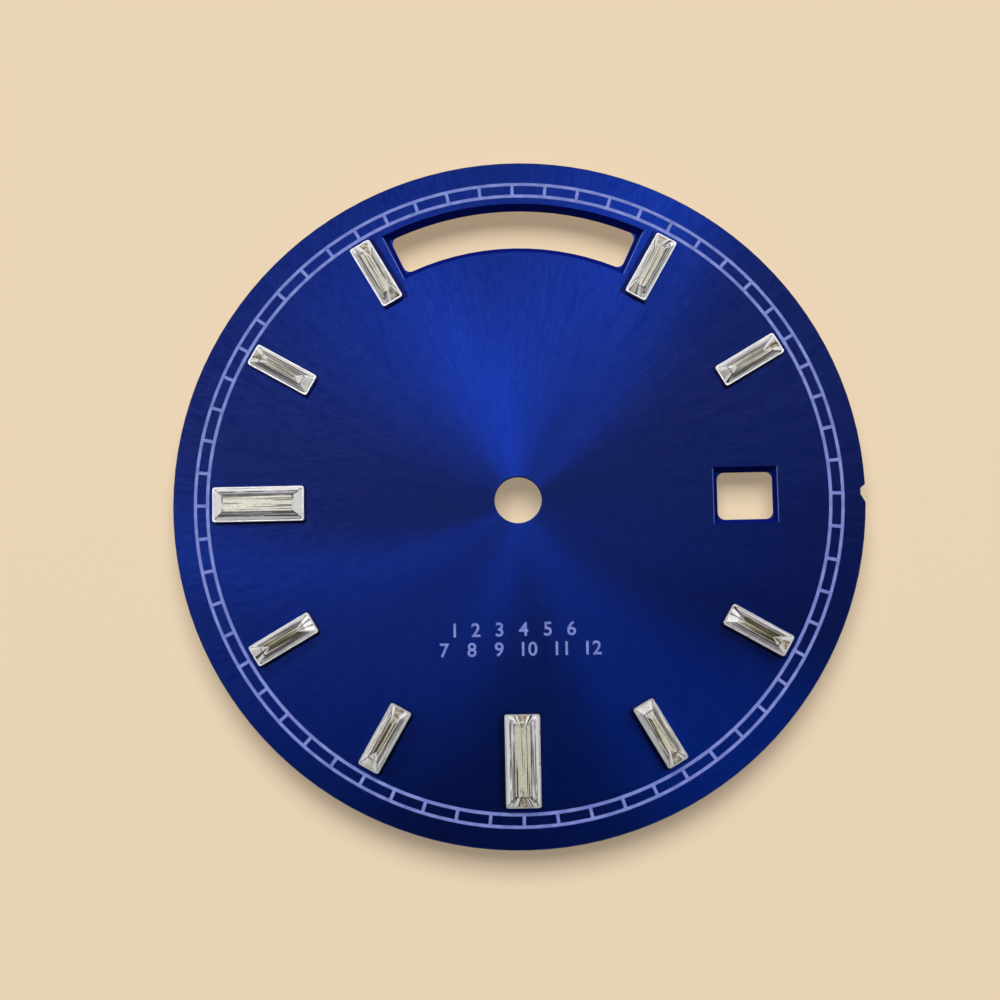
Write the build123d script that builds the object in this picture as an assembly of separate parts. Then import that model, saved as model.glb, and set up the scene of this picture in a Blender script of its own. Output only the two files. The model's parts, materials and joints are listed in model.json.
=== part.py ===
from build123d import *

import os
from math import degrees

# Round watch dial with a day arc at 12, a date window at 3 and ten baguette stone hour markers.
# Millimetres. The origin is the centre of the hand hole on the plate's back face. +Z leaves the
# printed face, +Y points to 12 o'clock and +X to 3 o'clock.

# Dial plate
dial_diameter = 28.5
plate_thickness = 0.4
edge_break = 0.04
hand_hole_diameter = 1.95

# Notch in the rim at 3 o'clock, steep towards 12 and gentle towards 6
notch_depth = 0.2
notch_floor_length = 0.25
notch_steep_run = 0.16
notch_gentle_run = 0.35
notch_floor_rise = 0.065
notch_corner_radius = 0.05

# Printed minute track, two circles near the rim joined by bars
track_rim_margin = 0.93
track_width = 0.5
track_line_width = 0.13
track_thickness = 0.02
minute_count = 60

# Walls of both windows: a slope from the face down to a ledge, then a hole with round corners
window_ledge_height = 0.06
window_corner_radius = 0.3

# Date window at 3
date_window_track_gap = 2.075
date_window_length = 2.67
date_window_width = 2.35
date_window_slope_run = 0.2

# Day window at 12, a sector of a ring between the markers at 11 and 1
day_window_track_gap = 0.255
day_window_width = 2.07
day_window_marker_gap = 0.475
day_window_slope_run = 0.24

# Dial feet
foot_radius = 0.35
foot_length = 1.2
foot_flange_radius = 0.55
foot_flange_thickness = 0.12
foot_tip_chamfer = 0.08
foot_rim_margin = 2.15
foot_turn_shares = (0.1225, 0.6225)

# Hour markers, each a metal setting with a stone in it
marker_length = 2.8
marker_width = 0.93
large_marker_length = 3.76
large_marker_width = 1.43
marker_track_gap = 0.2
window_marker_shift = 0.16

# Setting: a tray that follows the stone's underside
setting_height = 0.4
setting_wall = 0.05
setting_floor = 0.06
setting_corner_radius = 0.1
stone_clearance = 0.012

# Pins under each setting, and their holes in the plate
marker_pin_radius = 0.16
marker_pin_clearance = 0.015
marker_pin_inset = 0.6

# Baguette stone
stone_corner_cut = 0.08
girdle_height = 0.04
crown_height = 0.2
crown_side_run_share = 0.26
crown_end_run = 0.4
table_corner_cut = 0.03
pavilion_step_run_share = 0.24
pavilion_step_depth_share = 0.62
keel_half_width = 0.05
keel_corner_cut = 0.01

# Clock positions, and the overrun of every cutter
hour_count = 12
full_turn_degrees = 360
twelve_oclock_degrees = 90
cut_overrun = 0.5

date_window_hour = hour_count // 4
large_marker_hours = (hour_count // 2, hour_count - date_window_hour)
marker_hours = [hour for hour in range(1, hour_count) if hour != date_window_hour]

dial_radius = dial_diameter / 2
track_outer_radius = dial_radius - track_rim_margin
track_inner_radius = track_outer_radius - track_width
track_inner_edge = track_inner_radius - track_line_width / 2
day_window_outer_radius = track_inner_edge - day_window_track_gap
day_window_inner_radius = day_window_outer_radius - day_window_width


def hour_rotation(hour):
    """Turns something drawn at 12 o'clock to the given hour."""
    return Rot(Z=-full_turn_degrees * hour / hour_count)


def cut_corner_outline(length, width, corner_cut):
    """Flat rectangle, long along Y, with its four corners cut off at 45 degrees."""
    return chamfer(Rectangle(width, length).vertices(), corner_cut)


def ring_sector(inner_radius, outer_radius, half_angle):
    """Flat sector of a ring about the origin, centred on 12 o'clock."""
    start, sweep = twelve_oclock_degrees - half_angle, 2 * half_angle
    outer = CenterArc((0, 0), outer_radius, start, sweep)
    inner = CenterArc((0, 0), inner_radius, start, sweep)
    ends = [Line(outer @ end, inner @ end) for end in (0, 1)]
    return make_face([outer, inner, *ends])


def window_cut(face_outline, ledge_outline):
    """Cutter for one window: a slope between two outlines, then a hole with round corners."""
    ledge = Pos(Z=window_ledge_height) * ledge_outline
    slope = loft([ledge, Pos(Z=plate_thickness) * face_outline], ruled=True)
    hole = fillet(ledge_outline.vertices(), window_corner_radius)
    return slope + Pos(Z=-cut_overrun) * extrude(hole, cut_overrun + window_ledge_height)


def date_window_cut():
    """Cutter for the date window."""
    centre = track_inner_edge - date_window_track_gap - date_window_length / 2
    face = Rectangle(date_window_length, date_window_width)
    ledge = offset(face, -date_window_slope_run)
    return Pos(X=centre) * window_cut(face, ledge)


def day_window_cut():
    """Cutter for the day window, whose ends stay clear of the markers at 11 and 1."""
    middle_radius = (day_window_inner_radius + day_window_outer_radius) / 2
    end_setback = marker_width / 2 - window_marker_shift + day_window_marker_gap
    face_half_angle = full_turn_degrees / hour_count - degrees(end_setback / middle_radius)
    ledge_half_angle = face_half_angle - degrees(day_window_slope_run / middle_radius)
    face = ring_sector(day_window_inner_radius, day_window_outer_radius, face_half_angle)
    ledge = ring_sector(
        day_window_inner_radius + day_window_slope_run,
        day_window_outer_radius - day_window_slope_run,
        ledge_half_angle,
    )
    return window_cut(face, ledge)


def rim_notch_cut():
    """Cutter for the notch in the rim, with its corners rounded."""
    floor_x, past_rim = dial_radius - notch_depth, dial_radius + cut_overrun
    floor_top = notch_floor_rise + notch_floor_length / 2
    floor_bottom = notch_floor_rise - notch_floor_length / 2
    outline = Polyline(
        (floor_x, floor_top),
        (dial_radius, floor_top + notch_steep_run),
        (past_rim, floor_top + notch_steep_run),
        (past_rim, floor_bottom - notch_gentle_run),
        (dial_radius, floor_bottom - notch_gentle_run),
        (floor_x, floor_bottom),
        close=True,
    )
    inner_corners = make_face(outline).vertices().sort_by(Axis.X)[:2]
    return extrude(fillet(inner_corners, notch_corner_radius), plate_thickness)


class Marker:
    """Place and sizes of the marker at one hour, drawn at 12 o'clock and then turned to its hour."""

    def __init__(self, hour):
        large = hour in large_marker_hours
        self.hour = hour
        self.length = large_marker_length if large else marker_length
        self.width = large_marker_width if large else marker_width
        middle = track_inner_edge - marker_track_gap - self.length / 2
        self.place = hour_rotation(hour) * Pos(self.sideways_shift(), middle, plate_thickness)
        self.stone_length = self.length - 2 * (setting_wall + stone_clearance)
        self.stone_width = self.width - 2 * (setting_wall + stone_clearance)
        self.girdle_bottom = setting_height - girdle_height
        self.pavilion_depth = self.girdle_bottom - setting_floor - stone_clearance

    def sideways_shift(self):
        """Clockwise shift that takes the first and last marker away from the day window between them."""
        return window_marker_shift * ((self.hour == marker_hours[0]) - (self.hour == marker_hours[-1]))

    def pin_places(self):
        """Centres of the two pins, below the setting's ends."""
        reach = self.length / 2 - marker_pin_inset
        return [self.place * Pos(Y=side * reach) for side in (-1, 1)]

    def pavilion(self, growth):
        """Stone's underside from the girdle to the keel, grown outwards and down by a clearance."""
        step_run = self.stone_width * pavilion_step_run_share
        keel_run = self.stone_width / 2 - keel_half_width
        levels = (
            (0, 0, stone_corner_cut),
            (pavilion_step_depth_share, step_run, table_corner_cut),
            (1, keel_run, keel_corner_cut),
        )
        sections = [
            Pos(Z=self.girdle_bottom - growth - depth_share * self.pavilion_depth)
            * cut_corner_outline(
                self.stone_length + 2 * (growth - run), self.stone_width + 2 * (growth - run), corner_cut
            )
            for depth_share, run, corner_cut in levels
        ]
        return loft(sections, ruled=True)

    def setting(self):
        """Metal tray with its stone seat cut out and two pins below."""
        footprint = fillet(Rectangle(self.width, self.length).vertices(), setting_corner_radius)
        block = extrude(footprint, setting_height)
        seat_length, seat_width = (size + 2 * stone_clearance for size in (self.stone_length, self.stone_width))
        seat_outline = cut_corner_outline(seat_length, seat_width, stone_corner_cut)
        seat_depth = girdle_height + stone_clearance
        seat = Pos(Z=setting_height - seat_depth) * extrude(seat_outline, seat_depth)
        tray = self.place * (block - seat - self.pavilion(stone_clearance))
        pin = Cylinder(marker_pin_radius, plate_thickness, align=(Align.CENTER, Align.CENTER, Align.MAX))
        for place in self.pin_places():
            tray += place * pin
        return tray

    def stone(self):
        """Baguette stone: table and crown above the girdle, a stepped pavilion below it."""
        girdle_outline = cut_corner_outline(self.stone_length, self.stone_width, stone_corner_cut)
        girdle = Pos(Z=self.girdle_bottom) * extrude(girdle_outline, girdle_height)
        table_length = self.stone_length - 2 * crown_end_run
        table_width = self.stone_width * (1 - 2 * crown_side_run_share)
        table = cut_corner_outline(table_length, table_width, table_corner_cut)
        crown_levels = [Pos(Z=setting_height) * girdle_outline, Pos(Z=setting_height + crown_height) * table]
        crown = loft(crown_levels, ruled=True)
        return self.place * (girdle + crown + self.pavilion(0))


def dial_plate(markers):
    """Plate with its rim notch, hand hole, both windows and the marker pin holes."""
    blank = Cylinder(dial_radius, plate_thickness, align=(Align.CENTER, Align.CENTER, Align.MIN))
    plate = blank - rim_notch_cut()
    rims = [plate.faces().sort_by(Axis.Z)[end].outer_wire().edges() for end in (0, -1)]
    plate = chamfer([edge for rim in rims for edge in rim], edge_break)
    plate -= Pos(Z=plate_thickness / 2) * Cylinder(hand_hole_diameter / 2, plate_thickness + cut_overrun)
    plate -= date_window_cut()
    plate -= day_window_cut()
    pin_hole = Cylinder(marker_pin_radius + marker_pin_clearance, plate_thickness + cut_overrun)
    for marker in markers:
        for place in marker.pin_places():
            plate -= place * Pos(Z=-plate_thickness / 2) * pin_hole
    return plate


def minute_track():
    """Two printed circles joined by one bar for each minute."""
    half_line = track_line_width / 2
    print_face = Sketch()
    for radius in (track_inner_radius, track_outer_radius):
        print_face += Circle(radius + half_line) - Circle(radius - half_line)
    bar = Rectangle(track_line_width, track_outer_radius - track_inner_radius)
    bar_radius = (track_outer_radius + track_inner_radius) / 2
    minute_turn = full_turn_degrees / minute_count
    print_face += [Rot(Z=minute * minute_turn) * Pos(Y=bar_radius) * bar for minute in range(minute_count)]
    return Pos(Z=plate_thickness) * extrude(print_face, track_thickness)


def dial_foot(turn_share):
    """Foot on the plate's back: a thin flange and a pin with a broken tip."""
    hang = (Align.CENTER, Align.CENTER, Align.MAX)
    flange = Cylinder(foot_flange_radius, foot_flange_thickness, align=hang)
    pin = Cylinder(foot_radius, foot_length, align=hang)
    pin = chamfer(pin.edges().sort_by(Axis.Z)[:1], foot_tip_chamfer)
    return Rot(Z=-full_turn_degrees * turn_share) * Pos(Y=dial_radius - foot_rim_margin) * (flange + pin)


markers = [Marker(hour) for hour in marker_hours]
nodes = {"dial_plate": dial_plate(markers), "minute_track": minute_track()}
for number, turn_share in enumerate(foot_turn_shares, start=1):
    nodes[f"dial_foot_{number}"] = dial_foot(turn_share)
for marker in markers:
    nodes[f"marker_setting_{marker.hour:02d}"] = marker.setting()
    nodes[f"marker_stone_{marker.hour:02d}"] = marker.stone()

os.makedirs("parts", exist_ok=True)
for name, shape in nodes.items():
    export_step(shape, f"parts/{name}.step")
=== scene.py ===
"""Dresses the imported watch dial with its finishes, prints its numerals, and lights and frames it.

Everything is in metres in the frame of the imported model: the origin is the centre of the hand hole
on the plate's back face, +Z leaves the printed face and +Y points to 12 o'clock.
"""

import json
import logging
import math
from collections.abc import Callable, Iterable
from dataclasses import dataclass, field
from enum import Enum
from functools import reduce
from typing import Any, NamedTuple

import bmesh
import bpy
from mathutils import Matrix, Vector

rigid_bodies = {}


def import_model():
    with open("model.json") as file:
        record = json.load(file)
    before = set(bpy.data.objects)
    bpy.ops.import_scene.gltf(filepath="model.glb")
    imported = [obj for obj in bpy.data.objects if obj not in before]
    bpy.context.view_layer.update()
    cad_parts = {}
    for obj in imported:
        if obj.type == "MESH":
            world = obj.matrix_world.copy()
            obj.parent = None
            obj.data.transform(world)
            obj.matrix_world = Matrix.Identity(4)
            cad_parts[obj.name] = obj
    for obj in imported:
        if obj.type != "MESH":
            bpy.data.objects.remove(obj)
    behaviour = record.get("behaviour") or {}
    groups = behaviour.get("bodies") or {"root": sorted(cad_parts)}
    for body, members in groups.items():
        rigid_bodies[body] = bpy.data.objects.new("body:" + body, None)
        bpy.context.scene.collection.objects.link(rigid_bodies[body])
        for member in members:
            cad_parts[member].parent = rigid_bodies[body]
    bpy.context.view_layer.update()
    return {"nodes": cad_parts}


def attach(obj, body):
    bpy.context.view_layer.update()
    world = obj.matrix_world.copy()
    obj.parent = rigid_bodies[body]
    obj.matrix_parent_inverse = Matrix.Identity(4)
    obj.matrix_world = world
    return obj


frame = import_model()

log = logging.getLogger("watch_dial")

MM = 0.001
HOUR_ANGLE = math.radians(30)
LARGE_HOURS = (6, 9)
BARE_HOURS = (0, 3)
BLACK = (0.0, 0.0, 0.0)
ROOT_BODY = "root"

Triple = tuple[float, float, float]
Colour = Triple
Range = tuple[float, float]
Socket = bpy.types.NodeSocket


class Slot(Enum):
    """A material slot of the record. Nothing in the script uses it."""

    PRINT = "print"


class Mixing(Enum):
    """How two colours are mixed."""

    MIX = "MIX"
    MULTIPLY = "MULTIPLY"


class SocketKind(Enum):
    """What an input or output of a node group carries."""

    VALUE = "NodeSocketFloat"
    VECTOR = "NodeSocketVector"
    RGBA = "NodeSocketColor"


INPUT_KINDS = {"Place": SocketKind.VECTOR, "First": SocketKind.RGBA, "Second": SocketKind.RGBA}


def linear(*parts: int) -> Colour:
    """Turns a colour written in eight-bit display values into linear light.

    Args:
        *parts: Red, green and blue, from 0 to 255.

    Returns:
        The same colour in linear light, each part from 0 to 1.
    """
    shares = (part / 255 for part in parts)
    return tuple(s / 12.92 if s <= 0.04045 else ((s + 0.055) / 1.055) ** 2.4 for s in shares)


class MarkerReach(NamedTuple):
    """How far out a setting's middle is, and its half length and half width, in millimetres."""

    middle: float
    half_length: float
    half_width: float

    @classmethod
    def of(cls, node: str) -> "MarkerReach":
        """Measures one setting along and across its own hour's line.

        Args:
            node: The setting's CAD node.

        Returns:
            Its measures.
        """
        angle = int(node[-2:]) * HOUR_ANGLE
        ways = (
            Vector((math.sin(angle), math.cos(angle))),
            Vector((math.cos(angle), -math.sin(angle))),
        )
        corners = [Vector(v.co[:2]) / MM for v in frame["nodes"][node].data.vertices]
        outs, sides = ([corner.dot(way) for corner in corners] for way in ways)
        return cls(
            (max(outs) + min(outs)) / 2, (max(outs) - min(outs)) / 2, (max(sides) - min(sides)) / 2
        )


# ---- Shader graphs ----


class Graph:
    """Adds nodes to one node tree and wires them, so that a finish reads as a list of steps."""

    def __init__(self, tree: bpy.types.NodeTree) -> None:
        """Takes over a node tree and empties it."""
        self.tree = tree
        tree.nodes.clear()

    def node(self, kind: str, **settings: Any) -> bpy.types.Node:
        """Adds one node.

        Args:
            kind: The node's type name without its "ShaderNode" prefix.
            **settings: Properties to set on the node.

        Returns:
            The new node.
        """
        made = self.tree.nodes.new(f"ShaderNode{kind}")
        for name, value in settings.items():
            setattr(made, name, value)
        return made

    def feed(self, socket: Socket, value: Any) -> None:
        """Links an input to another node's output, or sets it to a plain value.

        Args:
            socket: The input.
            value: An output socket, a number, a colour or a vector.
        """
        if isinstance(value, Socket):
            self.tree.links.new(value, socket)
        elif socket.type == "RGBA" and len(value) == 3:
            socket.default_value = (*value, 1)
        else:
            socket.default_value = value

    def fed(self, kind: str, inputs: dict[int | str, Any], **settings: Any) -> Any:
        """Adds one node and feeds it.

        Args:
            kind: The node's type name without its "ShaderNode" prefix.
            inputs: What feeds its inputs, by their places or names.
            **settings: Properties to set on the node.

        Returns:
            The node's outputs.
        """
        made = self.node(kind, **settings)
        for socket, value in inputs.items():
            self.feed(made.inputs[socket], value)
        return made.outputs

    def math(self, operation: str, *values: Any) -> Socket:
        """Works out a number from one, two or three others."""
        return self.fed("Math", dict(enumerate(values)), operation=operation)[0]

    def times(self, *factors: Any) -> Socket:
        """Multiplies numbers."""
        return reduce(lambda product, factor: self.math("MULTIPLY", product, factor), factors)

    def plus(self, *terms: Any) -> Socket:
        """Adds up numbers."""
        return reduce(lambda total, term: self.math("ADD", total, term), terms)

    def minus(self, number: Any, taken: Any) -> Socket:
        """Takes one number from another."""
        return self.math("SUBTRACT", number, taken)

    def over(self, number: Any, divisor: Any) -> Socket:
        """Divides one number by another."""
        return self.math("DIVIDE", number, divisor)

    def most(self, first: Any, second: Any) -> Socket:
        """Gives the larger of two numbers."""
        return self.math("MAXIMUM", first, second)

    def size(self, number: Any) -> Socket:
        """Gives a number without its sign."""
        return self.math("ABSOLUTE", number)

    def under(self, number: Any, limit: Any) -> Socket:
        """Gives 1 where a number is under a limit, and 0 elsewhere."""
        return self.math("LESS_THAN", number, limit)

    def is_hour(self, hour: Any, *wanted: int) -> Socket:
        """Gives 1 where an hour is one of those wanted, and 0 elsewhere."""
        return self.plus(*(self.math("COMPARE", hour, float(one), 0.1) for one in wanted))

    def vector(self, operation: str, *values: Any) -> Socket:
        """Works out a vector or a number from one or two vectors.

        Args:
            operation: The operation.
            *values: The vectors. The second is a number where the operation is SCALE.

        Returns:
            The result.
        """
        inputs = dict(zip((0, "Scale") if operation == "SCALE" else (0, 1), values))
        outputs = self.fed("VectorMath", inputs, operation=operation)
        return outputs["Value" if operation in ("LENGTH", "DOT_PRODUCT") else "Vector"]

    def combine(self, x: Any, y: Any, z: Any) -> Socket:
        """Joins three numbers into a vector."""
        return self.fed("CombineXYZ", {0: x, 1: y, 2: z})[0]

    def separate(self, vector: Socket) -> list[Socket]:
        """Splits a vector into its three numbers."""
        return list(self.fed("SeparateXYZ", {0: vector}))

    def noise(
        self, vector: Socket, scale: Any = 1.0, detail: float = 3.0, roughness: float = 0.55
    ) -> Socket:
        """Reads a cloudy pattern of about 0 to 1 round 0.5 at a place.

        Args:
            vector: The place.
            scale: How many clouds there are in a step of 1.
            detail: How many finer patterns are added.
            roughness: How strong the finer patterns are.

        Returns:
            The pattern there.
        """
        inputs = {"Vector": vector, "Scale": scale, "Detail": detail, "Roughness": roughness}
        return self.fed("TexNoise", inputs, noise_dimensions="3D")["Fac"]

    def span(
        self,
        value: Any,
        low: Any,
        high: Any,
        to_low: Any = 0.0,
        to_high: Any = 1.0,
        smooth: bool = True,
    ) -> Socket:
        """Stretches a number from one range to another, held at its ends.

        Args:
            value: The number.
            low: Where the first range starts.
            high: Where it ends.
            to_low: Where the second range starts.
            to_high: Where it ends.
            smooth: Whether the change eases in and out.

        Returns:
            The number in the second range.
        """
        names = ("Value", "From Min", "From Max", "To Min", "To Max")
        inputs = dict(zip(names, (value, low, high, to_low, to_high)))
        curve = "SMOOTHSTEP" if smooth else "LINEAR"
        return self.fed("MapRange", inputs, interpolation_type=curve)["Result"]

    def blend(self, share: Any, first: Any, second: Any, how: Mixing = Mixing.MIX) -> Socket:
        """Mixes two colours: share 0 gives the first and 1 the second."""
        inputs = {"Factor": share, 6: first, 7: second}
        return self.fed("Mix", inputs, data_type="RGBA", blend_type=how.value)[2]

    def bump(
        self, height: Any, distance_mm: float, strength: float = 1.0, normal: Any = None
    ) -> Socket:
        """Turns a height of 0 to 1 into a normal.

        Args:
            height: The height socket.
            distance_mm: How far a height of 1 stands proud, in millimetres.
            strength: How much of the effect to use.
            normal: A normal from another bump to build on.

        Returns:
            The changed normal.
        """
        inputs = {"Height": height, "Distance": distance_mm * MM, "Strength": strength}
        if normal is not None:
            inputs["Normal"] = normal
        return self.fed("Bump", inputs)["Normal"]

    def place(self, group: bpy.types.NodeTree, **values: Any) -> Any:
        """Puts a node group in this tree.

        Args:
            group: The group's tree.
            **values: Its inputs by name, with underscores for spaces.

        Returns:
            The group node's outputs.
        """
        inputs = {name.replace("_", " ").capitalize(): value for name, value in values.items()}
        return self.fed("Group", inputs, node_tree=group)

    def millimetres(self) -> Socket:
        """Gives the place on the object, in millimetres."""
        return self.vector("SCALE", self.node("TexCoord").outputs["Object"], 1 / MM)

    def normal(self) -> Socket:
        """Gives the surface's own normal."""
        return self.node("NewGeometry").outputs["Normal"]


class EffectLibrary:
    """Shader node groups for the effects that several finishes share, each built once."""

    def __init__(self) -> None:
        """Builds every group."""
        self.radial_brushing = self._build(
            self._radial_brushing, "Place", "Lines per radian", "Line length"
        )
        self.marker_grid = self._build(self._marker_grid, "Place")
        self.dust = self._build(self._dust, "Place", "Density", "Share", "Size")
        self.clouding = self._build(self._clouding, "Place", "Scale", "First", "Second")

    @staticmethod
    def _build(
        steps: Callable[[Graph, Any], dict[str, Socket]], *labels: str
    ) -> bpy.types.NodeTree:
        """Makes one group.

        Args:
            steps: Fills the group, from its graph and inputs, and returns its outputs by name.
            *labels: The names of the group's inputs.

        Returns:
            The finished group, named after its steps.
        """
        tree = bpy.data.node_groups.new(steps.__name__.strip("_"), "ShaderNodeTree")
        for label in labels:
            kind = INPUT_KINDS.get(label, SocketKind.VALUE)
            tree.interface.new_socket(name=label, in_out="INPUT", socket_type=kind.value)
        graph = Graph(tree)
        outputs = steps(graph, tree.nodes.new("NodeGroupInput").outputs)
        for label, value in outputs.items():
            kind = SocketKind[value.type]
            tree.interface.new_socket(name=label, in_out="OUTPUT", socket_type=kind.value)
        target = tree.nodes.new("NodeGroupOutput").inputs
        for label, value in outputs.items():
            graph.feed(target[label], value)
        return tree

    @staticmethod
    def _radial_brushing(graph: Graph, given: Any) -> dict[str, Socket]:
        """Fine lines that run out from the centre, with no seam where the circle closes."""
        x, y, _ = graph.separate(given["Place"])
        flat = graph.combine(x, y, 0.0)
        radius = graph.vector("LENGTH", flat)
        along = graph.combine(0.0, 0.0, graph.over(radius, given["Line length"]))
        heading = graph.vector("NORMALIZE", flat)
        spun = graph.vector("ADD", graph.vector("SCALE", heading, given["Lines per radian"]), along)
        return {"Lines": graph.noise(spun, detail=5.0, roughness=0.68), "Radius": radius}

    @staticmethod
    def _marker_grid(graph: Graph, given: Any) -> dict[str, Socket]:
        """Measures a place from the middle of the marker on the nearest hour's line."""
        x, y, _ = graph.separate(given["Place"])
        flat = graph.combine(x, y, 0.0)
        radius = graph.vector("LENGTH", flat)
        clock_angle = graph.math("ARCTAN2", x, y)
        hour = graph.math("ROUND", graph.over(clock_angle, HOUR_ANGLE))
        hour_line = graph.times(hour, HOUR_ANGLE)
        off_line = graph.minus(clock_angle, hour_line)
        hour = graph.math("FLOORED_MODULO", hour, 12.0)
        small, large = (MarkerReach.of(name) for name in ("marker_setting_01", "marker_setting_06"))
        is_large = graph.is_hour(hour, *LARGE_HOURS)
        middle, half_length, half_width = (
            graph.span(is_large, 0.0, 1.0, a, b, smooth=False) for a, b in zip(small, large)
        )
        across = graph.times(radius, graph.math("SINE", off_line))
        along = graph.minus(graph.times(radius, graph.math("COSINE", off_line)), middle)
        centre = graph.combine(
            graph.times(middle, graph.math("SINE", hour_line)),
            graph.times(middle, graph.math("COSINE", hour_line)),
            0.0,
        )
        beside = graph.minus(graph.size(across), half_width)
        beyond = graph.minus(graph.size(along), half_length)
        return {
            "Across": across,
            "Along": along,
            "Hour": hour,
            "Beyond end": beyond,
            "Beside edge": beside,
            "Half width": half_width,
            "Outside": graph.plus(graph.most(beside, beyond), graph.is_hour(hour, *BARE_HOURS)),
            "From middle": graph.vector("SUBTRACT", flat, centre),
        }

    @staticmethod
    def _dust(graph: Graph, given: Any) -> dict[str, Socket]:
        """Scattered round specks, in only a share of the cells."""
        inputs = {"Vector": given["Place"], "Scale": given["Density"]}
        cells = graph.fed("TexVoronoi", inputs, feature="F1")
        near = graph.under(cells["Distance"], given["Size"])
        chance = graph.separate(cells["Color"])[0]
        return {"Specks": graph.times(near, graph.under(chance, given["Share"]))}

    @staticmethod
    def _clouding(graph: Graph, given: Any) -> dict[str, Socket]:
        """Slow change between two colours, for tarnish, ink and tint."""
        clouds = graph.noise(given["Place"], given["Scale"], detail=4.0)
        colour = graph.blend(graph.span(clouds, 0.3, 0.7), given["First"], given["Second"])
        return {"Colour": colour, "Clouds": clouds}


def drawn_out(graph: Graph, grid: Any, densities: Triple) -> Socket:
    """Gives a place for a pattern of lines along a marker, different at each hour.

    Args:
        graph: The material's graph.
        grid: The marker grid's outputs.
        densities: The pattern's steps in a millimetre across and along, and from hour to hour.

    Returns:
        The place.
    """
    names = ("Across", "Along", "Hour")
    return graph.combine(*(graph.times(grid[name], part) for name, part in zip(names, densities)))


class Finish:
    """A material with a Principled shader, which the finishes below build on."""

    name = "finish"

    def material(self, effects: EffectLibrary) -> bpy.types.Material:
        """Makes the finish's material.

        Args:
            effects: The shared node groups.

        Returns:
            The new material.
        """
        made = bpy.data.materials.new(self.name)
        made.use_nodes = True
        graph = Graph(made.node_tree)
        shader = graph.node("BsdfPrincipled")
        graph.fed("OutputMaterial", {"Surface": shader.outputs["BSDF"]})
        for socket, value in self.sockets(graph, effects).items():
            graph.feed(shader.inputs[socket], value)
        return made

    def sockets(self, graph: Graph, effects: EffectLibrary) -> dict[str, Any]:
        """Says what feeds each input of the shader.

        Args:
            graph: The material's graph.
            effects: The shared node groups.

        Returns:
            Plain values and sockets, by the names of the inputs.
        """
        raise NotImplementedError


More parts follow.
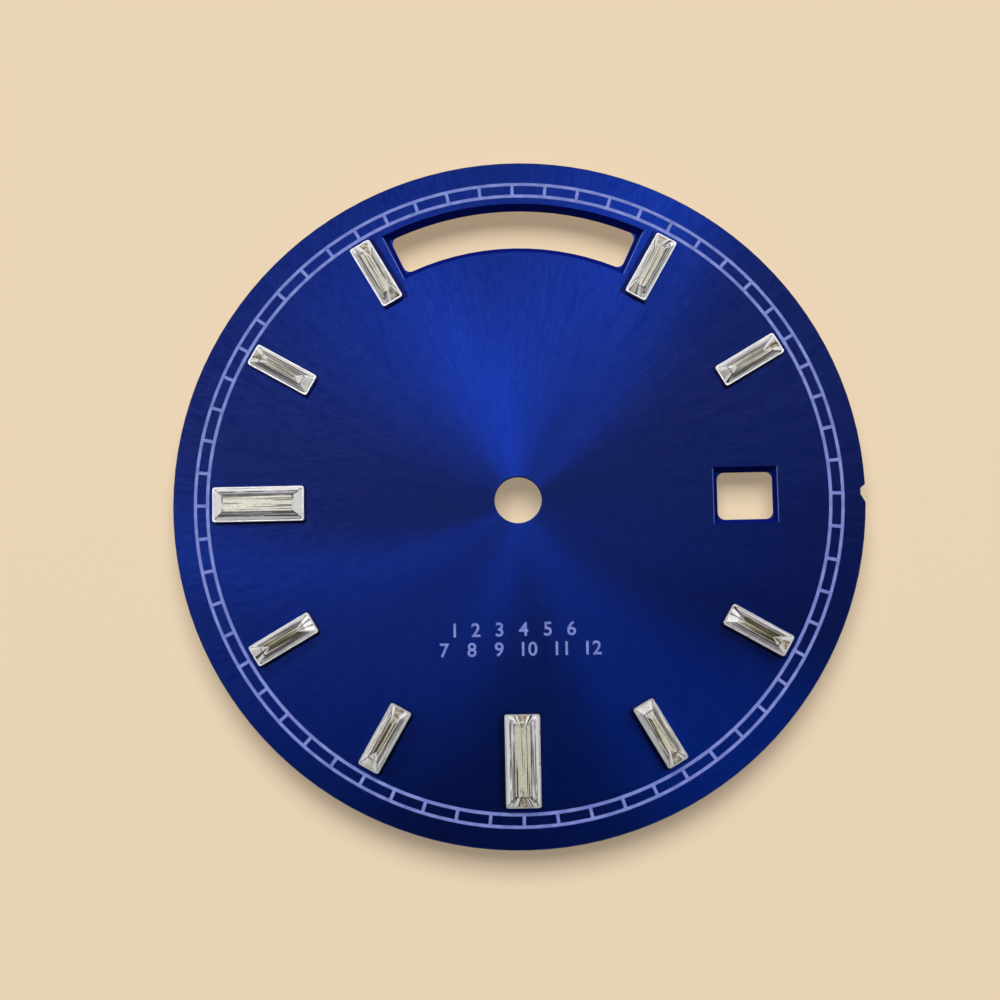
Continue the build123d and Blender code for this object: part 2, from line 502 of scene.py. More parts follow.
@dataclass(frozen=True)
class SunrayLacquer(Finish):
    """Brass brushed out from the centre, lacquered clear blue on its face and bare on its back."""

    name: str = "sunray_blue_lacquer"
    deep_blue: Colour = (0.0003, 0.0096, 0.129)
    light_blue: Colour = (0.0010, 0.0157, 0.175)
    wall_blue: Colour = (0.003, 0.009, 0.16)
    # Painted highlight: a lavender line along the top of the window walls that face 3 and 9 o'clock.
    edge_lavender: Colour = (0.19, 0.26, 0.62)
    # Painted contact shadow: the colour, strength and reach of a dark blue ring round each marker.
    pooled_blue: Colour = (0.0, 0.001, 0.035)
    pooled_share: float = 0.85
    pool_reach_mm: Range = (0.02, 0.11)
    pale_dust: Colour = (0.20, 0.26, 0.55)
    dust_share: float = 0.35
    bare_brass: Colour = (0.72, 0.50, 0.22)
    worn_brass: Colour = (0.64, 0.43, 0.18)
    turned_brass: Colour = (0.42, 0.27, 0.10)
    turned_share: float = 0.55
    lacquer_edge_mm: Range = (0.03, 0.06)
    edge_raggedness_mm: float = 0.03
    # Lines in a radian, and their length in millimetres.
    coarse_lines: Range = (42.0, 5.0)
    fine_lines: Range = (150.0, 2.5)
    hair_lines: Range = (150.0, 0.5)
    hair_share: float = 0.75
    brushing_roughness: Range = (0.255, 0.273)
    wall_roughness: float = 0.95
    anisotropy: float = 1.0
    lacquer_coat: Range = (0.0575, 0.1725)
    coat_roughness: float = 0.245
    coat_ior: float = 1.5
    low_angle_tint: Colour = (0.66, 0.76, 1.0)
    steep_below: float = 0.6
    # Heights over the back face where the painted highlight on the window walls starts and is full.
    edge_line_mm: Range = (0.335, 0.36)
    window_reach_mm: float = 13.5

    def sockets(self, graph: Graph, effects: EffectLibrary) -> dict[str, Any]:
        """Says what feeds each input of the shader, as in Finish."""
        place = graph.millimetres()
        height = graph.separate(place)[2]
        coarse, fine, hair = (
            graph.place(effects.radial_brushing, place=place, lines_per_radian=many, line_length=mm)
            for many, mm in (self.coarse_lines, self.fine_lines, self.hair_lines)
        )
        nx, _, nz = graph.separate(graph.normal())
        rag = graph.noise(place, 6.0)
        ragged = graph.math("MULTIPLY_ADD", rag, self.edge_raggedness_mm, height)
        lacquered = graph.span(ragged, *self.lacquer_edge_mm)
        wall = graph.times(lacquered, graph.under(graph.size(nz), self.steep_below))
        coarse_part = graph.times(coarse["Lines"], 1 - self.hair_share)
        strokes = graph.math("MULTIPLY_ADD", hair["Lines"], self.hair_share, coarse_part)
        brushed = graph.span(fine["Lines"], 0.25, 0.75, *self.brushing_roughness)
        coat = graph.span(strokes, 0.3, 0.7, *self.lacquer_coat)
        bump = graph.bump(coarse["Lines"], distance_mm=0.0012, strength=0.05)
        tangent = graph.node("Tangent", direction_type="RADIAL", axis="Z")
        tarnish = graph.place(
            effects.clouding, place=place, scale=0.16, first=self.bare_brass, second=self.worn_brass
        )
        cut = graph.combine(0.0, 0.0, coarse["Radius"])
        cut = graph.noise(cut, 6.0, detail=6.0, roughness=0.75)
        rings = graph.span(cut, 0.3, 0.7, self.turned_share, 0.0)
        brass = graph.blend(rings, tarnish["Colour"], self.turned_brass)
        blue = graph.blend(graph.span(strokes, 0.32, 0.68), self.deep_blue, self.light_blue)
        # Painted highlight: window walls facing 3 and 9 o'clock get a lavender line just under the
        # face.
        in_window = graph.under(coarse["Radius"], self.window_reach_mm)
        faces_sideways = graph.span(graph.size(nx), 0.3, 0.9)
        line = graph.times(graph.span(height, *self.edge_line_mm), in_window, faces_sideways)
        wall_colour = graph.blend(line, self.wall_blue, self.edge_lavender)
        dust = graph.place(effects.dust, place=place, density=1.3, share=0.08, size=0.035)
        blue = graph.blend(graph.times(dust["Specks"], self.dust_share), blue, self.pale_dust)
        painted = graph.blend(wall, blue, wall_colour)
        # Painted contact shadow: the lacquer is darkened in a ring round the foot of each marker's
        # setting.
        around = graph.place(effects.marker_grid, place=place)["Outside"]
        contact_shadow = graph.span(around, *self.pool_reach_mm, self.pooled_share, 0.0)
        painted = graph.blend(contact_shadow, painted, self.pooled_blue)
        return {
            "Base Color": graph.blend(lacquered, brass, painted),
            "Metallic": graph.minus(1.0, wall),
            "Roughness": graph.span(wall, 0.0, 1.0, brushed, self.wall_roughness),
            "Anisotropic": self.anisotropy,
            "Tangent": tangent.outputs["Tangent"],
            "Normal": graph.bump(fine["Lines"], distance_mm=0.0006, strength=0.12, normal=bump),
            "Coat Weight": graph.times(graph.minus(lacquered, wall), coat),
            "Coat Roughness": self.coat_roughness,
            "Coat IOR": self.coat_ior,
            "Specular IOR Level": 0.0,
            "Specular Tint": self.low_angle_tint,
        }


@dataclass(frozen=True)
class PadPrint(Finish):
    """Thin pale lavender ink, a little uneven where the pad laid it down."""

    name: str = "lavender_pad_print"
    thick_ink: Colour = linear(132, 144, 210)
    thin_ink: Colour = linear(106, 118, 186)
    roughness: Range = (0.42, 0.58)

    def sockets(self, graph: Graph, effects: EffectLibrary) -> dict[str, Any]:
        """Says what feeds each input of the shader, as in Finish."""
        place = graph.millimetres()
        ink = graph.place(
            effects.clouding, place=place, scale=2.2, first=self.thin_ink, second=self.thick_ink
        )
        grain = graph.noise(place, 22.0, detail=2.0)
        return {
            "Base Color": ink["Colour"],
            "Roughness": graph.span(grain, 0.3, 0.7, *self.roughness),
            "Normal": graph.bump(grain, distance_mm=0.004, strength=0.5),
        }


@dataclass(frozen=True)
class PolishedSetting(Finish):
    """Polished white metal with hairline scratches, and pale silver foil with painted reflection
    streaks.
    """

    name: str = "polished_white_metal"
    bright: Colour = (0.72, 0.72, 0.74)
    dull: Colour = (0.62, 0.62, 0.64)
    pale_foil: Colour = (0.93, 0.89, 0.77)
    olive_foil: Colour = (0.20, 0.18, 0.11)
    foil_lines: Triple = (5.5, 0.3, 7.3)
    hairline_density: Triple = (3.0, 3.0, 30.0)
    roughness: Range = (0.27, 0.33)
    foil_roughness: float = 0.3
    foil_metallic: float = 0.5
    rim_height_mm: float = 0.79
    floor_faces_up: float = 0.15

    def sockets(self, graph: Graph, effects: EffectLibrary) -> dict[str, Any]:
        """Says what feeds each input of the shader, as in Finish."""
        place = graph.millimetres()
        metal = graph.place(
            effects.clouding, place=place, scale=1.4, first=self.dull, second=self.bright
        )
        hairlines = graph.noise(graph.vector("MULTIPLY", place, self.hairline_density), detail=2.0)
        grid = graph.place(effects.marker_grid, place=place)
        normal = graph.normal()
        facing_in = graph.most(
            graph.math("GREATER_THAN", graph.separate(normal)[2], self.floor_faces_up),
            graph.under(graph.vector("DOT_PRODUCT", normal, grid["From middle"]), 0.0),
        )
        height = graph.separate(place)[2]
        inside = graph.times(facing_in, graph.under(height, self.rim_height_mm))
        # Painted reflection: dark olive streaks along each marker in the foil.
        streaks = graph.noise(drawn_out(graph, grid, self.foil_lines), detail=2.5)
        foil = graph.blend(graph.span(streaks, 0.36, 0.5), self.olive_foil, self.pale_foil)
        polished = graph.span(hairlines, 0.3, 0.7, *self.roughness)
        return {
            "Base Color": graph.blend(inside, metal["Colour"], foil),
            "Metallic": graph.span(inside, 0.0, 1.0, 1.0, self.foil_metallic),
            "Roughness": graph.span(inside, 0.0, 1.0, polished, self.foil_roughness),
            "Normal": graph.bump(hairlines, distance_mm=0.0008, strength=0.06),
        }


@dataclass(frozen=True)
class StepCutStone(Finish):
    """Polished foil-backed glass, milky enough to show its cut.

    The colour paints the stone's reflections. The table has painted lines along it and painted
    kite-shaped glints at both ends. The crown's facets are painted bright, with painted shade lines
    at the mitres, where its two steps meet and where it meets the table.
    """

    name: str = "foil_backed_step_cut_glass"
    # Most colours below paint the stone's reflections: lit and shaded facets, glints and shade
    # lines.
    cream: Colour = (0.78, 0.73, 0.60)
    taupe: Colour = (0.25, 0.215, 0.155)
    olive: Colour = (0.07, 0.06, 0.03)
    brown: Colour = (0.26, 0.19, 0.13)
    lavender: Colour = (0.60, 0.56, 0.64)
    shade: Colour = (0.055, 0.05, 0.04)
    bright: Colour = (1.0, 1.0, 1.0)
    seam: Colour = (0.06, 0.055, 0.05)
    mottled: Colour = (0.52, 0.54, 0.48)
    dark_hours: tuple[int, ...] = (2, 4, 7, 8, 10)
    dark_hour_shifts: Range = (-0.09, -0.05)
    plain_ended_hour: int = 9
    girdle_height_mm: float = 0.8
    bright_border_mm: Range = (0.865, 0.885)
    border_lift: float = 0.12
    inner_band_mm: Range = (0.925, 0.95)
    inner_lift: float = -0.07
    facet_lines: Triple = (19.0, 0.35, 3.7)
    broad_lines: Triple = (5.0, 0.35, 3.1)
    fine_lines: Triple = (18.0, 0.35, 5.9)
    sideways: Range = (0.6, 0.9)
    line_share: float = 0.8
    step_line_mm: float = 0.886
    step_line_half_mm: Range = (0.008, 0.024)
    # Heights and strength of the painted shade line where the crown meets the table.
    seam_mm: Range = (0.962, 0.972)
    seam_share: float = 0.85
    kite_length_mm: float = 0.78
    kite_share_on_table: float = 0.75
    mottling: Range = (0.55, 0.25)
    wall_mm: float = 0.062
    side_facet_share: float = 0.26
    end_facet_mm: float = 0.4
    mitre_half: Range = (0.06, 0.14)
    flat_from: float = 0.95
    ior: float = 1.5
    clearness: float = 0.34
    roughness: Range = (0.0, 0.02)

    def sockets(self, graph: Graph, effects: EffectLibrary) -> dict[str, Any]:
        """Says what feeds each input of the shader, as in Finish."""
        place = graph.millimetres()
        height = graph.separate(place)[2]
        nx, ny, nz = graph.separate(graph.normal())
        grid = graph.place(effects.marker_grid, place=place)
        is_plain = graph.is_hour(grid["Hour"], self.plain_ended_hour)
        kite_glints, inside_kite = self._kites(graph, grid)
        inside_kite = graph.times(inside_kite, graph.minus(1.0, is_plain))
        # Painted light follows how far a facet faces 3 or 9 o'clock; hour 9's ends stay painted
        # white.
        heading = graph.vector("NORMALIZE", graph.combine(nx, ny, 0.0))
        sideways = graph.span(graph.size(graph.separate(heading)[0]), *self.sideways)
        plain_end = graph.times(is_plain, sideways)
        facet = self._facets(graph, grid, height, sideways, plain_end)
        # Painted shade: a broken dark line where the crown's two steps meet, left out on hour 9's
        # ends.
        off_line = graph.size(graph.minus(height, self.step_line_mm))
        step_line = graph.times(
            graph.span(off_line, *self.step_line_half_mm, self.line_share, 0.0),
            graph.span(graph.noise(place, 1.7), 0.36, 0.56),
            graph.minus(1.0, plain_end),
        )
        facet = graph.blend(step_line, facet, self.shade)
        # Painted glints fanning out at each end of the stone, on the crown here and on the table
        # below.
        facet = graph.blend(inside_kite, facet, kite_glints)
        # Painted shade: dark lines along the mitres.
        mitres = graph.times(self._mitres(graph, grid), self.line_share)
        facet = graph.blend(mitres, facet, self.shade)
        # Painted shade: a broken dark line where the crown meets the table.
        seam = graph.span(height, *self.seam_mm)
        seam = graph.times(seam, graph.span(graph.noise(place, 2.2), 0.38, 0.62), self.seam_share)
        facet = graph.blend(seam, facet, self.seam)
        on_table = graph.times(inside_kite, self.kite_share_on_table)
        table = graph.blend(on_table, self._table(graph, grid), kite_glints)
        crown = graph.under(graph.size(nz), self.flat_from)
        top = graph.blend(crown, table, facet)
        mottle = graph.noise(place, 11.0, detail=3.0, roughness=0.7)
        most_mottled, share_on_crown = self.mottling
        mottle = graph.times(
            graph.span(mottle, 0.38, 0.52, most_mottled, 0.0),
            graph.span(crown, 0.0, 1.0, 1.0, share_on_crown),
        )
        top = graph.blend(mottle, top, self.mottled, Mixing.MULTIPLY)
        above_girdle = graph.math("GREATER_THAN", height, self.girdle_height_mm)
        polish = graph.noise(place, 9.0, detail=2.0)
        return {
            "Base Color": graph.blend(above_girdle, self.bright, top),
            "Metallic": 0.0,
            "Roughness": graph.span(polish, 0.45, 0.8, *self.roughness),
            "IOR": self.ior,
            "Transmission Weight": self.clearness,
        }

    def _facets(
        self, graph: Graph, grid: Any, height: Socket, sideways: Socket, plain_end: Socket
    ) -> Socket:
        """Paints light and shade on the crown's facets.

        White towards 3 and 9 o'clock, lavender towards 12 and 6, with painted shade bands along
        them and a painted highlight border at their foot.

        Args:
            graph: The material's graph.
            grid: The marker grid's outputs.
            height: The height over the back face, in millimetres.
            sideways: How far a facet faces 3 or 9 o'clock.
            plain_end: Where the ends are left without bands.

        Returns:
            Their colour.
        """
        # Painted light: white facets towards 3 and 9 o'clock, lavender towards 12 and 6.
        facet = graph.blend(sideways, self.lavender, self.bright)
        # Painted highlight border at the facet's foot, and painted shade bands along it.
        border = graph.span(height, *self.bright_border_mm, self.border_lift, 0.0)
        bands = graph.noise(drawn_out(graph, grid, self.facet_lines))
        bands = graph.plus(
            bands, graph.span(height, *self.inner_band_mm, 0.0, self.inner_lift), border
        )
        clear = graph.most(graph.span(bands, 0.47, 0.52), plain_end)
        facet = graph.blend(graph.span(border, 0.0, self.border_lift), facet, self.bright)
        return graph.blend(clear, graph.blend(self.line_share, facet, self.shade), facet)

    def _mitres(self, graph: Graph, grid: Any) -> Socket:
        """Marks the four lines where a side facet meets an end facet, for painted shade lines there.

        Args:
            graph: The material's graph.
            grid: The marker grid's outputs.

        Returns:
            The mark.
        """
        stone_half = graph.minus(grid["Half width"], self.wall_mm)
        side_run = graph.times(stone_half, 2 * self.side_facet_share)
        side_share = graph.over(graph.plus(grid["Beside edge"], self.wall_mm), side_run)
        end_share = graph.over(graph.plus(grid["Beyond end"], self.wall_mm), self.end_facet_mm)
        apart = graph.size(graph.minus(side_share, end_share))
        return graph.span(apart, *self.mitre_half, 1.0, 0.0)

    def _table(self, graph: Graph, grid: Any) -> Socket:
        """Paints reflections on the table: cream or taupe by the hour, with olive lines along it.

        Args:
            graph: The material's graph.
            grid: The marker grid's outputs.

        Returns:
            Its colour.
        """
        # Painted reflections: a darker tone at the listed hours, and olive lines along the table.
        is_dark = graph.is_hour(grid["Hour"], *self.dark_hours)
        broad_shift, fine_shift = (graph.times(is_dark, part) for part in self.dark_hour_shifts)
        broad = graph.noise(drawn_out(graph, grid, self.broad_lines), detail=1.0)
        fine = graph.noise(drawn_out(graph, grid, self.fine_lines))
        ground = graph.blend(is_dark, self.cream, self.taupe)
        broad_share = graph.span(graph.plus(broad, broad_shift), 0.40, 0.62)
        lit = graph.blend(broad_share, ground, self.cream)
        lit = graph.blend(graph.span(fine, 0.55, 0.61), lit, self.cream)
        return graph.blend(graph.span(graph.plus(fine, fine_shift), 0.42, 0.47), self.olive, lit)

    def _kites(self, graph: Graph, grid: Any) -> tuple[Socket, Socket]:
        """Paints the glints that fan out from a point on the table to the corners of each end.

        Args:
            graph: The material's graph.
            grid: The marker grid's outputs.

        Returns:
            Their colour, and a mask of where they are.
        """
        depth = graph.plus(grid["Beyond end"], self.kite_length_mm)
        fan, spread = (
            graph.over(across, graph.most(depth, 1e-3))
            for across in (graph.size(grid["Across"]), grid["Across"])
        )
        end = graph.plus(graph.times(grid["Hour"], 2.3), graph.math("SIGN", grid["Along"]))
        rays = graph.noise(graph.combine(graph.times(spread, 5.0), end, 0.0), detail=1.0)
        chance = graph.noise(graph.combine(0.0, end, 4.4), detail=0.0)
        patches = graph.noise(graph.vector("SCALE", grid["From middle"], 6.0))
        core = graph.blend(graph.span(chance, 0.42, 0.58), self.brown, self.bright)
        core = graph.blend(graph.span(patches, 0.42, 0.60), core, self.cream)
        colour = graph.blend(graph.span(fan, 0.24, 0.30), core, self.bright)
        colour = graph.blend(graph.span(rays, 0.36, 0.40), self.shade, colour)
        return colour, graph.times(graph.span(depth, 0.0, 0.02), graph.span(fan, 0.72, 0.62))


@dataclass(frozen=True)
class CopperWire(Finish):
    """Drawn copper alloy wire with lines along it and a patchy brown film."""

    name: str = "drawn_copper_wire"
    fresh: Colour = (0.80, 0.44, 0.29)
    browned: Colour = (0.50, 0.24, 0.14)
    draw_lines: Triple = (30.0, 30.0, 0.8)
    roughness: Range = (0.25, 0.45)

    def sockets(self, graph: Graph, effects: EffectLibrary) -> dict[str, Any]:
        """Says what feeds each input of the shader, as in Finish."""
        place = graph.millimetres()
        film = graph.place(
            effects.clouding, place=place, scale=2.6, first=self.fresh, second=self.browned
        )
        lines = graph.noise(graph.vector("MULTIPLY", place, self.draw_lines))
        return {
            "Base Color": film["Colour"],
            "Metallic": 1.0,
            "Roughness": graph.span(film["Clouds"], 0.3, 0.7, *self.roughness),
            "Normal": graph.bump(lines, distance_mm=0.004, strength=0.5),
        }


# ---- The dial ----


def dress(prefix: str, material: bpy.types.Material) -> None:
    """Gives CAD nodes a finish through their own material slots.

    Args:
        prefix: What the nodes' names start with.
        material: The finish's material.
    """
    for name in (name for name in frame["nodes"] if name.startswith(prefix)):
        data = frame["nodes"][name].data
        if not data.materials:
            data.materials.append(material)
        for index in range(len(data.materials)):
            data.materials[index] = material
        log.info("%s: %s", name, material.name)


def mesh_object(
    name: str, shape: bmesh.types.BMesh, material: bpy.types.Material
) -> bpy.types.Object:
    """Turns a finished bmesh into an object of the scene.

    Args:
        name: The object's name.
        shape: Its shape, in metres and in place. It is freed.
        material: Its material.

    Returns:
        The new object.
    """
    data = bpy.data.meshes.new(name)
    shape.to_mesh(data)
    shape.free()
    data.materials.append(material)
    made = bpy.data.objects.new(name, data)
    bpy.context.scene.collection.objects.link(made)
    return made


@dataclass
class DialPlate:
    """The plate itself: one CAD node."""

    finish: SunrayLacquer = field(default_factory=SunrayLacquer)

    def build(self, effects: EffectLibrary) -> None:
        """Dresses the plate."""
        dress("dial_plate", self.finish.material(effects))


@dataclass
class DialFeet:
    """The two feet on the back."""

    finish: CopperWire = field(default_factory=CopperWire)

    def build(self, effects: EffectLibrary) -> None:
        """Dresses both feet."""
        dress("dial_foot", self.finish.material(effects))


@dataclass
class HourMarkers:
    """The ten settings and the stones in them."""

    metal: PolishedSetting = field(default_factory=PolishedSetting)
    stone: StepCutStone = field(default_factory=StepCutStone)

    def build(self, effects: EffectLibrary) -> None:
        """Dresses the settings and the stones."""
        dress("marker_setting", self.metal.material(effects))
        dress("marker_stone", self.stone.material(effects))


@dataclass
class NumeralRow:
    """One row of plain hour numbers, printed above 6."""

    name: str
    hours: range
    width_mm: float
    centre_mm: Range


@dataclass
class PrintedWork:
    """Everything printed on the face: the minute track and two rows of numerals."""

    face_height_mm: float = 0.4
    ink_thickness_mm: float = 0.012
    cap_height_mm: float = 0.58
    stroke_gain: float = 0.014
    outline_steps: int = 6
    join_distance_mm: float = 1e-5
    rows: tuple[NumeralRow, ...] = (
        NumeralRow("hour_numerals_upper", range(1, 7), 5.0, (-0.24, -5.33)),
        NumeralRow("hour_numerals_lower", range(7, 13), 6.59, (-0.01, -6.14)),
    )
    finish: PadPrint = field(default_factory=PadPrint)

    def build(self, effects: EffectLibrary) -> None:
        """Dresses the minute track and prints the numerals.

        Args:
            effects: The shared node groups.
        """
        ink = self.finish.material(effects)
        dress("minute_track", ink)
        for row in self.rows:
            piece = mesh_object(row.name, self._row_shape(row), ink)
            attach(piece, ROOT_BODY)
            log.info("%s: %d faces", row.name, len(piece.data.polygons))

    def _number_mesh(self, number: int) -> bpy.types.Mesh:
        """Sets one number in type.

        Args:
            number: The number.

        Returns:
            Its solid mesh, 1 thick, in the type's own units.
        """
        curve = bpy.data.curves.new(f"number_{number}", "FONT")
        curve.body = str(number)
        curve.resolution_u = self.outline_steps
        curve.extrude = 0.5
        curve.offset = self.stroke_gain
        holder = bpy.data.objects.new(curve.name, curve)
        bpy.context.scene.collection.objects.link(holder)
        bpy.context.view_layer.update()
        solid = bpy.data.meshes.new_from_object(holder)
        bpy.data.batch_remove([holder, curve])
        return solid

    def _row_shape(self, row: NumeralRow) -> bmesh.types.BMesh:
        """Lays one row of numbers on the face, with the same gap between neighbours.

        Args:
            row: The row.

        Returns:
            Its shape, in metres and in place.
        """
        shape = bmesh.new()
        numbers = []
        for hour in row.hours:
            solid = self._number_mesh(hour)
            first = len(shape.verts)
            shape.from_mesh(solid)
            shape.verts.ensure_lookup_table()
            bpy.data.meshes.remove(solid)
            numbers.append(shape.verts[first:])
        scale = self.cap_height_mm / self._reach(shape.verts, 1)[2]
        bmesh.ops.scale(shape, verts=shape.verts, vec=(scale, scale, self.ink_thickness_mm))
        widths = [self._reach(number, 0)[2] for number in numbers]
        gap = (row.width_mm - sum(widths)) / (len(widths) - 1)
        bottom, top, _ = self._reach(shape.verts, 1)
        height = self.face_height_mm + self.ink_thickness_mm / 2
        left = row.centre_mm[0] - row.width_mm / 2
        for number, width in zip(numbers, widths):
            low = self._reach(number, 0)[0]
            move = Vector((left - low, row.centre_mm[1] - (bottom + top) / 2, height))
            bmesh.ops.translate(shape, verts=number, vec=move)
            left += width + gap
        bmesh.ops.remove_doubles(shape, verts=shape.verts, dist=self.join_distance_mm)
        bmesh.ops.scale(shape, verts=shape.verts, vec=(MM, MM, MM))
        bmesh.ops.recalc_face_normals(shape, faces=shape.faces)
        return shape

    @staticmethod
    def _reach(verts: Iterable[bmesh.types.BMVert], axis: int) -> tuple[float, float, float]:
        """Gives the lowest and highest place of some vertices on one axis, and their distance."""
        places = [vert.co[axis] for vert in verts]
        return min(places), max(places), max(places) - min(places)


# ---- The studio ----


@dataclass(frozen=True)
class LightPatch:
    """An oblong patch of light on the dome over the dial, placed by its angle off the vertical.

    The dome is laid flat as a map: a place's distance from the map's middle is its angle from the
    vertical, and 12 o'clock is up. Centre, half sizes and turn are degrees on that map.
    """

    name: str
    centre: Range
    half_size: Range
    turn: float
    radiance: float


@dataclass(frozen=True)
class Softbox(LightPatch):
    """A patch that is a lamp: an oblong softbox that faces the dial and isn't seen in its gloss."""

    distance_mm: float = 1200.0

    def build(self) -> None:
        """Hangs the lamp."""
        lamp = bpy.data.lights.new(self.name, "AREA")
        lamp.shape = "RECTANGLE"
        lamp.size, lamp.size_y = (
            2 * self.distance_mm * MM * math.tan(math.radians(half)) for half in self.half_size
        )
        lamp.energy = self.radiance * math.pi * lamp.size * lamp.size_y
        holder = bpy.data.objects.new(self.name, lamp)
        holder.visible_camera = holder.visible_glossy = holder.visible_transmission = False
        off_vertical = math.radians(math.hypot(*self.centre))
        bearing = math.atan2(self.centre[1], self.centre[0])
        flat = math.sin(off_vertical)
        back = Vector((flat * math.cos(bearing), flat * math.sin(bearing), math.cos(off_vertical)))
        turn = math.radians(self.turn)
        along = Vector((math.cos(turn), math.sin(turn), 0))
        along = (along - back * along.dot(back)).normalized()
        facing = Matrix((along, back.cross(along), back)).transposed().to_4x4()
        place = back * self.distance_mm * MM
        holder.matrix_world = Matrix.Translation(place) @ facing
        bpy.context.scene.collection.objects.link(holder)
        log.info("%s at %s", self.name, tuple(round(x, 3) for x in place))


@dataclass(frozen=True)
class WallPatch(LightPatch):
    """A patch that belongs to the world: one bright soft-edged stretch of the room's walls."""

    edge: float = 3.0

    def glow(self, graph: Graph, spot: tuple[Socket, Socket]) -> Socket:
        """Draws the patch on the map.

        Args:
            graph: The world's graph.
            spot: Degrees off the vertical, towards 3 o'clock and towards 12.

        Returns:
            The patch's radiance there.
        """
        turn = math.radians(self.turn)
        off_x, off_y = (graph.minus(part, middle) for part, middle in zip(spot, self.centre))
        shares = []
        for cosine, sine, half in (
            (math.cos(turn), math.sin(turn), self.half_size[0]),
            (-math.sin(turn), math.cos(turn), self.half_size[1]),
        ):
            along = graph.math("MULTIPLY_ADD", off_x, cosine, graph.times(off_y, sine))
            shares.append(graph.span(graph.size(along), half + self.edge / 2, half - self.edge / 2))
        return graph.times(*shares, self.radiance)


@dataclass(frozen=True)
class RoomInStones:
    """The room as the stones show it: pale overhead, brighter at the sides, dimmer at 12 and 6."""

    overhead: Colour = (2.00, 2.00, 1.96)
    sides: Colour = (2.60, 2.63, 2.70)
    ends: Colour = (1.50, 1.42, 1.32)
    overhead_reach_deg: Range = (28.0, 42.0)
    side_share: Range = (0.35, 0.75)

    def look(self, graph: Graph, spot: tuple[Socket, Socket]) -> Socket:
        """Draws the room on the map.

        Args:
            graph: The world's graph.
            spot: Degrees off the vertical, towards 3 o'clock and towards 12.

        Returns:
            The room's colour there.
        """
        flat = graph.combine(*spot, 0.0)
        sideways = graph.size(graph.separate(graph.vector("NORMALIZE", flat))[0])
        round_about = graph.blend(graph.span(sideways, *self.side_share), self.ends, self.sides)
        low = graph.span(graph.vector("LENGTH", flat), *self.overhead_reach_deg)
        return graph.blend(low, self.overhead, round_about)


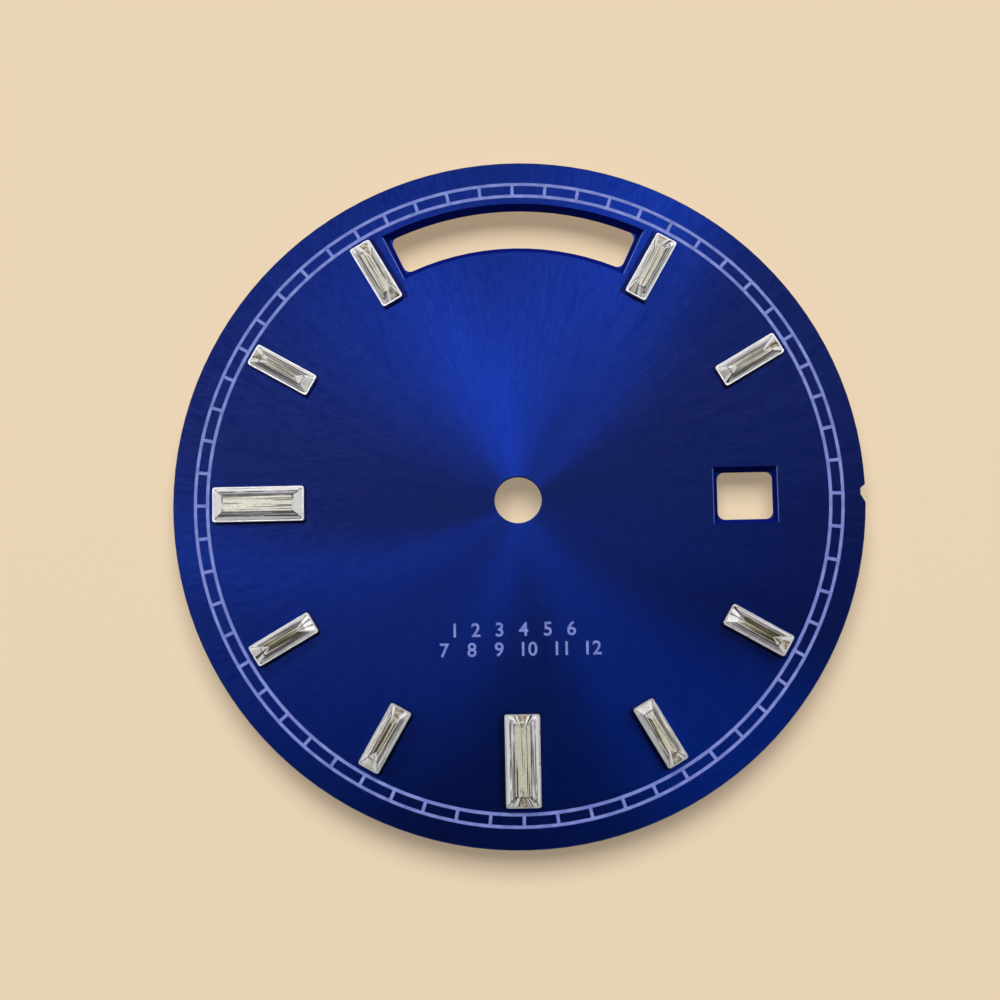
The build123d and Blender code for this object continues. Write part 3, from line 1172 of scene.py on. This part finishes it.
@dataclass
class Studio:
    """Pale floor, soft light and the camera."""

    floor_height_mm: float = -1.2
    floor_size_mm: float = 4000.0
    floor_colour: Colour = linear(236, 214, 184)
    floor_own_light: float = 0.385
    floor_light_in_gloss: Range = (0.45, 1.0)
    gloss_fade_mm: Range = (-15.0, 15.0)
    floor_fade_mm: Range = (40.0, 420.0)
    key: Softbox = Softbox("softbox_above_12", (0.0, 28.0), (22.0, 17.5), 0.0, 7.85)
    walls: tuple[WallPatch, ...] = (
        WallPatch("wall_high", (20.1, 12.3), (43.0, 2.4), 8.0, 2.72),
        WallPatch("wall_eleven", (-13.3, 24.7), (2.5, 6.6), 12.0, 6.99),
        WallPatch("wall_one", (41.6, 28.7), (9.7, 15.4), 78.0, 7.68),
        WallPatch("wall_ten", (-45.3, 28.6), (8.4, 22.7), -52.0, 5.06),
        WallPatch("wall_three", (42.7, -7.2), (3.3, 29.7), 52.0, 5.53),
        WallPatch("wall_overhead", (-3.2, 11.8), (12.9, 4.5), 24.0, 2.23),
        WallPatch("wall_eight", (-41.1, -26.0), (10.2, 32.0), -4.0, 0.88),
        WallPatch("wall_twelve", (17.8, 37.5), (4.5, 6.6), -19.0, 1.91),
    )
    horizon_reach_deg: Range = (57.0, 63.0)
    horizon_radiance: float = 0.8
    horizon_foot_deg: Range = (70.0, 78.0)
    horizon_foot_share: float = 0.45
    room_in_stones: RoomInStones = field(default_factory=RoomInStones)
    camera_place_mm: Triple = (1.0086, -10.2608, 82.6292)
    camera_turns_deg: Triple = (7.11, 1.22, -1.06)
    lens_mm: float = 72.51
    sensor_mm: float = 36.0
    sight_mm: Range = (1.0, 10000.0)

    def build(self) -> None:
        """Builds the floor, the lamps and the camera."""
        self._floor()
        self._world()
        self.key.build()
        self._camera()
        bpy.context.scene.view_settings.view_transform = "Standard"

    def _floor(self) -> None:
        """Lays the floor at the height of the feet's tips. It doesn't show from below."""
        shape = bmesh.new()
        bmesh.ops.create_grid(shape, x_segments=1, y_segments=1, size=self.floor_size_mm * MM / 2)
        bmesh.ops.translate(shape, verts=shape.verts, vec=(0, 0, self.floor_height_mm * MM))
        mesh_object("floor", shape, self._floor_material())

    def _floor_material(self) -> bpy.types.Material:
        """Makes a plain matt floor with some light of its own for the camera and for gloss.

        Returns:
            Its material, which the camera sees through from below.
        """
        made = bpy.data.materials.new("plain_pale_floor")
        made.use_nodes = True
        graph = Graph(made.node_tree)
        matt = graph.fed("BsdfDiffuse", {"Color": self.floor_colour})[0]
        own_light = graph.fed("Emission", {"Color": self.floor_colour})[0]
        see_through = graph.node("BsdfTransparent").outputs[0]
        ray = graph.node("LightPath").outputs
        seen = ray["Is Camera Ray"]
        straight = graph.under(ray["Diffuse Depth"], 0.5)
        towards_12 = graph.separate(graph.millimetres())[1]
        fall_off = graph.span(towards_12, *self.gloss_fade_mm, *self.floor_light_in_gloss)
        in_gloss = graph.times(ray["Is Glossy Ray"], straight, fall_off)
        distance = graph.vector("LENGTH", graph.millimetres())
        own_share = graph.span(distance, *self.floor_fade_mm, self.floor_own_light, 1.0)
        own_share = graph.math("MULTIPLY_ADD", seen, own_share, in_gloss)
        lit = graph.fed("MixShader", {0: own_share, 1: matt, 2: own_light})[0]
        behind = graph.times(graph.node("NewGeometry").outputs["Backfacing"], seen)
        surface = graph.fed("MixShader", {0: behind, 1: lit, 2: see_through})[0]
        graph.fed("OutputMaterial", {"Surface": surface})
        return made

    def _world(self) -> None:
        """Builds the room, which each kind of ray sees in its own way.

        Gloss sees bright walls, and the floor's colour below the horizon. Rays through the stones
        see a room of their own. The camera sees the floor's colour, and matt surfaces see nothing.
        """
        world = bpy.data.worlds.new("studio")
        world.use_nodes = True
        graph = Graph(world.node_tree)
        x, y, z = graph.separate(graph.node("TexCoord").outputs["Generated"])
        off_vertical = graph.math("ARCCOSINE", z)
        spread = graph.over(off_vertical, graph.most(graph.math("SINE", off_vertical), 1e-4))
        degrees = graph.times(spread, math.degrees(1))
        spot = graph.times(x, degrees), graph.times(y, degrees)
        angle = graph.times(off_vertical, math.degrees(1))
        horizon = graph.times(
            graph.span(angle, *self.horizon_reach_deg, 0.0, self.horizon_radiance),
            graph.span(angle, *self.horizon_foot_deg, 1.0, self.horizon_foot_share),
        )
        level = graph.plus(horizon, *(wall.glow(graph, spot) for wall in self.walls))
        ray = graph.node("LightPath").outputs
        above = graph.combine(level, level, level)
        walls = graph.blend(graph.under(z, 0.0), above, self.floor_colour)
        in_gloss = graph.blend(ray["Is Glossy Ray"], BLACK, walls)
        in_stones = self.room_in_stones.look(graph, spot)
        room = graph.blend(ray["Is Transmission Ray"], in_gloss, in_stones)
        colour = graph.blend(ray["Is Camera Ray"], room, self.floor_colour)
        graph.fed("OutputWorld", {"Surface": graph.fed("Background", {"Color": colour})[0]})
        bpy.context.scene.world = world

    def _camera(self) -> None:
        """Sets the camera where the photograph was taken from."""
        lens = bpy.data.cameras.new("camera")
        lens.lens, lens.sensor_width = self.lens_mm, self.sensor_mm
        lens.clip_start, lens.clip_end = (reach * MM for reach in self.sight_mm)
        camera = bpy.data.objects.new("camera", lens)
        about_x, about_y, about_z = (math.radians(turn) for turn in self.camera_turns_deg)
        turned = (
            Matrix.Rotation(about_y, 4, "Y")
            @ Matrix.Rotation(about_x, 4, "X")
            @ Matrix.Rotation(about_z, 4, "Z")
        )
        camera.matrix_world = Matrix.Translation(Vector(self.camera_place_mm) * MM) @ turned
        bpy.context.scene.collection.objects.link(camera)
        bpy.context.scene.camera = camera


def main() -> None:
    """Builds the sub-assemblies in order, then the studio."""
    logging.basicConfig(level=logging.INFO, format="%(name)s: %(message)s")
    effects = EffectLibrary()
    for sub_assembly in (DialPlate(), DialFeet(), HourMarkers(), PrintedWork()):
        sub_assembly.build(effects)
    Studio().build()


if __name__ == "__main__":
    main()
